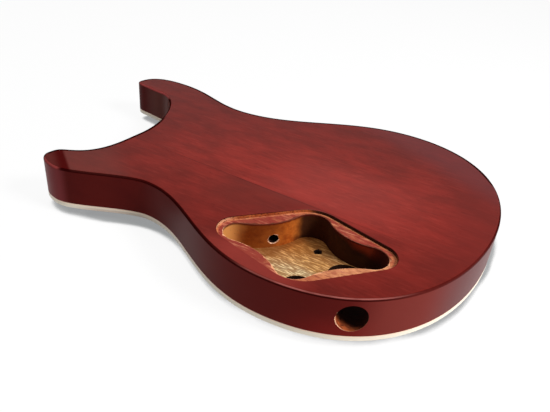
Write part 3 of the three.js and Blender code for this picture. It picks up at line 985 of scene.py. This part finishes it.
def control_cutters():
    """Cover seat, pocket, pot recesses and pilot hole."""
    cover, pocket = cover_outline(), pocket_outline()
    chamfered = inset(cover, -SEAT_CHAMFER)
    worn = inset(pocket, -(LIP_WEAR + torn_edge(len(pocket), **LIP_TEARS)))
    seat_z, floor_z = BACK - SEAT_DEPTH, BACK - POCKET_DEPTH
    seat = loft("seat_cutter", [
        at_height(inset(cover, PALE_LEDGE_EDGE), seat_z), at_height(cover, seat_z),
        at_height(cover, BACK - SEAT_CHAMFER), at_height(chamfered, BACK),
        at_height(chamfered, BACK + OVERRUN),
    ], SEAT_WALL_WOOD, LEDGE_WOOD, bands={0: LEDGE_EDGE_WOOD, 2: STAIN_BASS})
    well = loft("pocket_cutter", [
        at_height(pocket, floor_z), at_height(pocket, seat_z - LIP_HEIGHT),
        at_height(worn, seat_z), at_height(worn, seat_z + OVERLAP),
    ], WALL_WOOD, FLOOR_WOOD, bands={1: LIP_WOOD})
    recesses = [prism("recess_cutter", circle(in_cavity(shares), POT_RECESS_RADIUS, POT_RECESS_SIDES),
                      GLUE - OVERRUN, floor_z + OVERLAP, RECESS_SHADE_WOOD) for shares in POT_SHARES]
    centre, spokes = in_cavity(PILOT_SHARES), circle((0, 0), 1.0, PILOT_SIDES)
    pilot = prism("pilot_cutter", circle(centre, PILOT_RADIUS, PILOT_SIDES),
                  GLUE - OVERRUN, floor_z + OVERLAP, RECESS_SHADE_WOOD)
    torn = centre + spokes * (PILOT_RADIUS + PILOT_WEAR + torn_edge(PILOT_SIDES, **PILOT_TEARS))[:, None]
    chips = loft("pilot_chips", [
        at_height(centre + spokes * PILOT_RADIUS, floor_z - PILOT_CHIP_DEPTH),
        at_height(torn, floor_z), at_height(torn, floor_z + OVERLAP),
    ], RECESS_SHADE_WOOD)
    return [seat, well, *recesses, chips, pilot]


def jack_cutter(outline):
    """Round bore from the treble edge into the butt lobe, with fibres torn at its neck side."""
    beside = np.array([JACK_MOUTH_X, -WIDTH])
    mouth = beside + (0, reach_to(beside, (0, 1), outline))
    aim = in_cavity(JACK_AIM_SHARES)
    outwards = unit(mouth - aim)
    height = BACK - JACK_BELOW_BACK
    neck_side = np.clip(-np.cos(round_angles(JACK_SIDES) + JACK_TEARS_TURN), 0, 1) ** 4
    tears = JACK_WEAR + torn_edge(JACK_SIDES, **JACK_TEARS) * neck_side
    depths = JACK_TEAR_DEPTHS[0] + JACK_TEAR_DEPTHS[1] * neck_side
    start, end = mouth + outwards * OVERRUN, mouth - outwards * JACK_LENGTH
    return torn_bore("jack_cutter", (*start, height), (*end, height), JACK_RADIUS,
                     outline, tears, depths, JACK_WOOD)


def channel_cutter():
    """Slanted wire channel from the cavity to the bridge pickup rout, with fibres torn at its mouth."""
    start = (*in_cavity(CHANNEL_START_SHARES), BACK - CHANNEL_START_BELOW_BACK)
    end = (BRIDGE_PICKUP_X - CHANNEL_END_FROM_ROUT_MIDDLE, CHANNEL_END_INSET - ROUT["span"] / 2,
           CHANNEL_END_HEIGHT)
    lower_side = np.clip(np.sin(round_angles(CHANNEL_SIDES) + CHANNEL_TEARS_TURN), 0, 1)
    tears = CHANNEL_WEAR[0] + torn_edge(CHANNEL_SIDES, **CHANNEL_TEARS) + CHANNEL_WEAR[1] * lower_side
    depths = CHANNEL_TEAR_DEPTHS[0] + CHANNEL_TEAR_DEPTHS[1] * lower_side
    return torn_bore("channel_cutter", start, end, CHANNEL_RADIUS,
                     pocket_outline(), tears, depths, RECESS_SHADE_WOOD)


def front_outlines():
    """Outlines and depths of what is cut from the front."""
    half_neck, half_rout, half_span = NECK_POCKET["width"] / 2, ROUT["length"] / 2, ROUT["span"] / 2
    neck_end = NECK_END + NECK_POCKET["length"]
    cuts = [(rectangle(-HALF[0], neck_end, -half_neck, half_neck, ROUT_CORNER), NECK_POCKET["depth"])]
    for middle in (NECK_PICKUP_X, BRIDGE_PICKUP_X):
        rout = rectangle(middle - half_rout, middle + half_rout, -half_span, half_span, ROUT_CORNER)
        cuts.append((rout, ROUT["depth"]))
    for y in (-STUD_SPACING / 2, STUD_SPACING / 2):
        cuts.append((circle((BRIDGE_X, y), STUD_RADIUS, STUD_SIDES), STUD_DEPTH))
    return cuts


def front_cutters():
    """Cutters for the neck pocket, the pickup routs and the stud holes."""
    return [prism("front_cutter", points, -OVERRUN, depth, BORE_WOOD) for points, depth in front_outlines()]


def mark_far_edge(piece, outline):
    """Marks, as an attribute, the back's edge on the far side, which gets painted shade as a dark line."""
    run = np.roll(outline, -1, axis=0) - np.roll(outline, 1, axis=0)
    outwards = np.column_stack([run[:, 1], -run[:, 0]]) / np.linalg.norm(run, axis=1)[:, None]
    facing = np.clip(-(outwards @ LIT_EDGE_DIRECTION[:2]) / FAR_EDGE_FADE, 0, 1)
    places = np.empty(len(piece.data.vertices) * 3)
    piece.data.vertices.foreach_get("co", places)
    places = places.reshape(-1, 3) / MM
    values = np.zeros(len(places))
    edge = places[:, 2] > BACK - BACK_EDGE_RADIUS - 0.01
    edge[edge] = edge_distance(places[edge, :2], outline) < BACK_EDGE_RADIUS + FLAT_MARGIN / 2
    nearest = np.linalg.norm(places[edge, None, :2] - outline[None], axis=2).argmin(axis=1)
    values[edge] = facing[nearest]
    marks = piece.data.attributes.new("far_edge", "FLOAT", "POINT")
    marks.data.foreach_set("value", values.astype(np.float32))


def back_planks(outline):
    """The two glued planks, with their rounded back edge and all cuts."""
    rings = [at_height(outline, GLUE)]
    for step in range(BACK_EDGE_STEPS + 1):
        angle = math.pi / 2 * step / BACK_EDGE_STEPS
        inwards = BACK_EDGE_RADIUS * (1 - math.cos(angle))
        rings.append(at_height(inset(outline, inwards), BACK - BACK_EDGE_RADIUS * (1 - math.sin(angle))))
    rings.append(at_height(inset(outline, BACK_EDGE_RADIUS + FLAT_MARGIN), BACK))
    whole = loft("bass_back", rings, STAIN_BASS)
    combine(whole, [*control_cutters(), jack_cutter(outline), channel_cutter(), *front_cutters()])
    planks = halves(whole, "treble_back", SEAM_FROM_CENTRE, math.radians(SEAM_SKEW_DEGREES), SEAM_GAP)
    for i, material in enumerate(planks[1].data.materials):
        if material == STAIN_BASS:
            planks[1].data.materials[i] = STAIN_TREBLE
    for plank in planks:
        mark_far_edge(smooth(plank), outline)
    return planks


def carved_height(points, outline):
    """Height of the arched front above the floor."""
    travel = np.clip((edge_distance(points, outline) - RIM_FLAT) / CARVE_WIDTH, 0, 1)
    return RIM * (1 - travel * travel * (3 - 2 * travel))


def cap_half(name, side, outline, maple):
    """Half of the arched cap: a cut-out sheet, flat where it is glued and carved on its front."""
    edge = inset(outline, BINDING_THICKNESS + GLUE_GAP)
    holes = [points for points, _ in front_outlines()]
    holes += [circle(in_cavity(shares), POT_SHAFT_RADIUS, POT_SHAFT_SIDES) for shares in POT_SHARES]
    holes.append(circle(in_cavity(PILOT_SHARES), PILOT_RADIUS, PILOT_FRONT_SIDES))
    xs = np.arange(-HALF[0], HALF[0], CARVE_STEP)
    ys = np.arange(CARVE_STEP / 2, HALF[1], CARVE_STEP) * side
    grid = np.array([(x + CARVE_STEP / 2 * (row % 2), y) for row, y in enumerate(ys) for x in xs])
    clear = is_inside(grid, inset(edge, CARVE_STEP / 3))
    for hole in holes:
        clear &= ~is_inside(grid, inset(hole, -CARVE_STEP / 3))
    along = np.linspace(-HALF[0], HALF[0], round(LENGTH / CARVE_STEP))
    centre_line = np.column_stack([along, np.zeros(len(along))])
    loops = [edge, *holes]
    points, edges = [], []
    for loop in loops:
        first = len(points)
        points += loop.tolist()
        edges += [(first + i, first + (i + 1) % len(loop)) for i in range(len(loop))]
    first = len(points)
    points += centre_line.tolist()
    edges += [(first + i, first + i + 1) for i in range(len(centre_line) - 1)]
    points += grid[clear].tolist()
    places, _, triangles, _, _, _ = delaunay_2d_cdt([Vector(p) for p in points], edges, [], 0, 1e-4, False)
    places = np.array([tuple(p) for p in places])
    triangles = np.array(triangles)
    middles = places[triangles].mean(axis=1)
    kept = is_inside(middles, edge) & (middles[:, 1] * side > 0)
    for hole in holes:
        kept &= ~is_inside(middles, hole)
    return sheet_solid(name, places, triangles[kept], outline, maple)


def smoothed(height, places, triangles, fixed):
    """Heights evened out over the sheet, except where they are fixed."""
    pairs = np.vstack([triangles[:, [0, 1]], triangles[:, [1, 2]], triangles[:, [2, 0]]])
    pairs = np.vstack([pairs, pairs[:, ::-1]])
    counts = np.maximum(np.bincount(pairs[:, 0], minlength=len(places)), 1)
    for _ in range(CARVE_SMOOTHINGS):
        mean = np.bincount(pairs[:, 0], weights=height[pairs[:, 1]], minlength=len(places)) / counts
        height = np.where(fixed, height, mean)
    return height


def sheet_solid(name, places, triangles, outline, maple):
    """Closed solid between the flat glue face and the carved front."""
    used, index = np.unique(triangles, return_inverse=True)
    places, triangles = places[used], index.reshape(triangles.shape)
    distance = edge_distance(places, outline)
    front = smoothed(carved_height(places, outline), places, triangles, distance < RIM_FLAT * 2)
    front = np.maximum(front, 0)
    count = len(places)
    directed = {(int(a), int(b)) for t in triangles for a, b in ((t[0], t[1]), (t[1], t[2]), (t[2], t[0]))}
    rim = [(a, b) for a, b in directed if (b, a) not in directed]
    faces = [tuple(int(v) for v in t[::-1]) for t in triangles]
    faces += [tuple(int(v) + count for v in t) for t in triangles]
    faces += [(a, b, b + count, a + count) for a, b in rim]
    slots = [0] * len(triangles) + [1] * (len(triangles) + len(rim))
    solid = np.vstack([np.column_stack([places, front]), at_height(places, GLUE)])
    return smooth(new_piece(name, solid, faces, [maple, CAP_CORE], slots))


def bindings(outline):
    """Cream strip round the front edge, as a bass and a treble half."""
    section = [(0.0, GLUE)]
    section += [(BINDING_EDGE_RADIUS * (1 - math.cos(a)), RIM + BINDING_EDGE_RADIUS * (1 - math.sin(a)))
                for a in np.linspace(0, math.pi / 2, BINDING_EDGE_STEPS + 1)]
    section += [(BINDING_THICKNESS, RIM), (BINDING_THICKNESS, GLUE)]
    rings = [at_height(inset(outline, inwards), z) for inwards, z in section]
    count, levels = len(outline), len(section)
    faces = [(level * count + i, level * count + (i + 1) % count,
              (level + 1) % levels * count + (i + 1) % count, (level + 1) % levels * count + i)
             for level in range(levels) for i in range(count)]
    whole = new_piece("bass_binding", np.vstack(rings), [face[::-1] for face in faces], [CREAM])
    neck, depth = front_outlines()[0]
    combine(whole, [prism("neck_cutter", neck, -OVERRUN, depth, CREAM)])
    return [smooth(half) for half in halves(whole, "treble_binding")]


def dress_body():
    """All pieces of the body, each in place of its CAD node."""
    outline = body_outline()
    bass_back, treble_back = back_planks(outline)
    bass_binding, treble_binding = bindings(outline)
    pieces = [
        (bass_back, "back_plank_bass", "stained_wood"),
        (treble_back, "back_plank_treble", "stained_wood"),
        (cap_half("bass_front", 1, outline, MAPLE_BASS), "cap_half_bass", "front_wood"),
        (cap_half("treble_front", -1, outline, MAPLE_TREBLE), "cap_half_treble", "front_wood"),
        (bass_binding, "binding_bass", "cream_binding"),
        (treble_binding, "binding_treble", "cream_binding"),
    ]
    for piece, node, slot in pieces:
        piece.data.name = piece.name
        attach(piece, "root")
        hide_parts(node)


# Stage

def contact_shade(place):
    """Floor's colour with the shade close to the body, whose reach varies along it."""
    along, across = part(place, "X"), part(place, "Y")
    butt = between(along, 0.198, 0.232)
    bass = times(butt, between(across, -0.02, 0.04))
    reach = between(along, -0.075, 0.0, 0.0155, 0.0107)
    for operation, change in (
        ("SUBTRACT", between(along, -0.085, -0.118, 0.0, 0.0038)),
        ("SUBTRACT", between(along, 0.04, 0.1, 0.0, 0.00105)),
        ("ADD", between(along, 0.15, 0.19, 0.0, 0.0003)),
        ("ADD", times(butt, maths("ADD", between(across, -0.08, -0.05, 0.0, 0.0008), 0.0022))),
        ("ADD", times(bass, 0.0034)),
        ("ADD", times(butt, between(across, 0.03, 0.08, 0.0, 0.0048))),
    ):
        reach = maths(operation, reach, change)
    lean_y = maths("SUBTRACT", CONTACT_LEAN[1], times(bass, 0.8))
    lean = put("CombineXYZ", X=CONTACT_LEAN[0], Y=lean_y, Z=CONTACT_LEAN[2])[0]
    contact = put("AmbientOcclusion", {"samples": 32}, Distance=reach,
                  Normal=vector_maths("NORMALIZE", lean))["AO"]
    dark, light = between(along, 0.02, 0.08, 0.66, 0.68), between(along, 0.02, 0.08, 0.81, 0.765)
    return mix(between(contact, dark, light), CONTACT_SHADE, FLOOR_WHITE)


def white_floor():
    """White floor: rays from the camera and reflections see it white, and it keeps the shadow."""
    material, shader, place = new_material("white_floor")
    tree = place.id_data
    tree.nodes.remove(shader)
    glow = put("Emission", Color=contact_shade(place), Strength=1.0)[0]
    shaded = put("BsdfDiffuse", tree=tree, Color=(0.1, 0.1, 0.1, 1))[0]
    bright = put("AddShader", i0=glow, i1=shaded)[0]
    plain = put("BsdfDiffuse", tree=tree, Color=(0.85, 0.85, 0.85, 1))[0]
    both = put("MixShader", i0=seen_white(tree), i1=plain, i2=bright)[0]
    feed(tree.nodes["Material Output"], Surface=both)
    reach = FLOOR_REACH / MM
    corners = [(-reach, -reach, 0), (reach, -reach, 0), (reach, reach, 0), (-reach, reach, 0)]
    floor = new_piece("floor", corners, [(0, 1, 2, 3)], [material])
    floor.location.z = -FLOOR_DROP


def lamp(name, place, size, power):
    """Square soft light aimed at the body."""
    data = bpy.data.lights.new(name, "AREA")
    data.size = size
    data.energy = power
    light = add(name, data)
    light.location = place
    light.rotation_euler = (-Vector(place)).to_track_quat("-Z", "Y").to_euler()


def surround():
    """White for the camera and for reflections, and a dim light on the body."""
    world = bpy.data.worlds.new("surround")
    world.use_nodes = True
    strength = ramp(seen_white(world.node_tree), 0.0, 1.0, SURROUND_LIGHT, 1.0)
    feed(world.node_tree.nodes["Background"], Color=(1, 1, 1, 1), Strength=strength)
    bpy.context.scene.world = world


def studio():
    """Soft light from the far right, a wide one overhead, and a dim surround."""
    lamp("key_light", **KEY_LIGHT)
    lamp("overhead_light", **OVERHEAD_LIGHT)
    surround()
    bpy.context.scene.view_settings.view_transform = "Standard"


def photo_camera():
    """Camera at the photograph's place and angle."""
    width, height = PHOTO_SIZE
    yaw, pitch, roll = (math.radians(CAMERA_DEGREES[turn]) for turn in ("heading", "pitch", "roll"))
    data = bpy.data.cameras.new("photo_camera")
    data.sensor_width = 36
    data.lens = FOCAL_PIXELS * data.sensor_width / width
    data.shift_x = (width / 2 - PHOTO_CENTRE[0]) / width
    data.shift_y = (PHOTO_CENTRE[1] - height / 2) / width
    data.clip_start = 0.01
    forward = Vector((math.cos(yaw) * math.cos(pitch), math.sin(yaw) * math.cos(pitch), -math.sin(pitch)))
    level = forward.cross(Vector((0, 0, 1))).normalized()
    upright = level.cross(forward)
    right = level * math.cos(roll) + upright * math.sin(roll)
    up = right.cross(forward)
    turn = Matrix((right, up, -forward)).transposed()
    camera = add("photo_camera", data)
    camera.matrix_world = Matrix.Translation(Vector(CAMERA_PLACE) * MM) @ turn.to_4x4()
    bpy.context.scene.camera = camera


photo_camera()
white_floor()
studio()
dress_body()
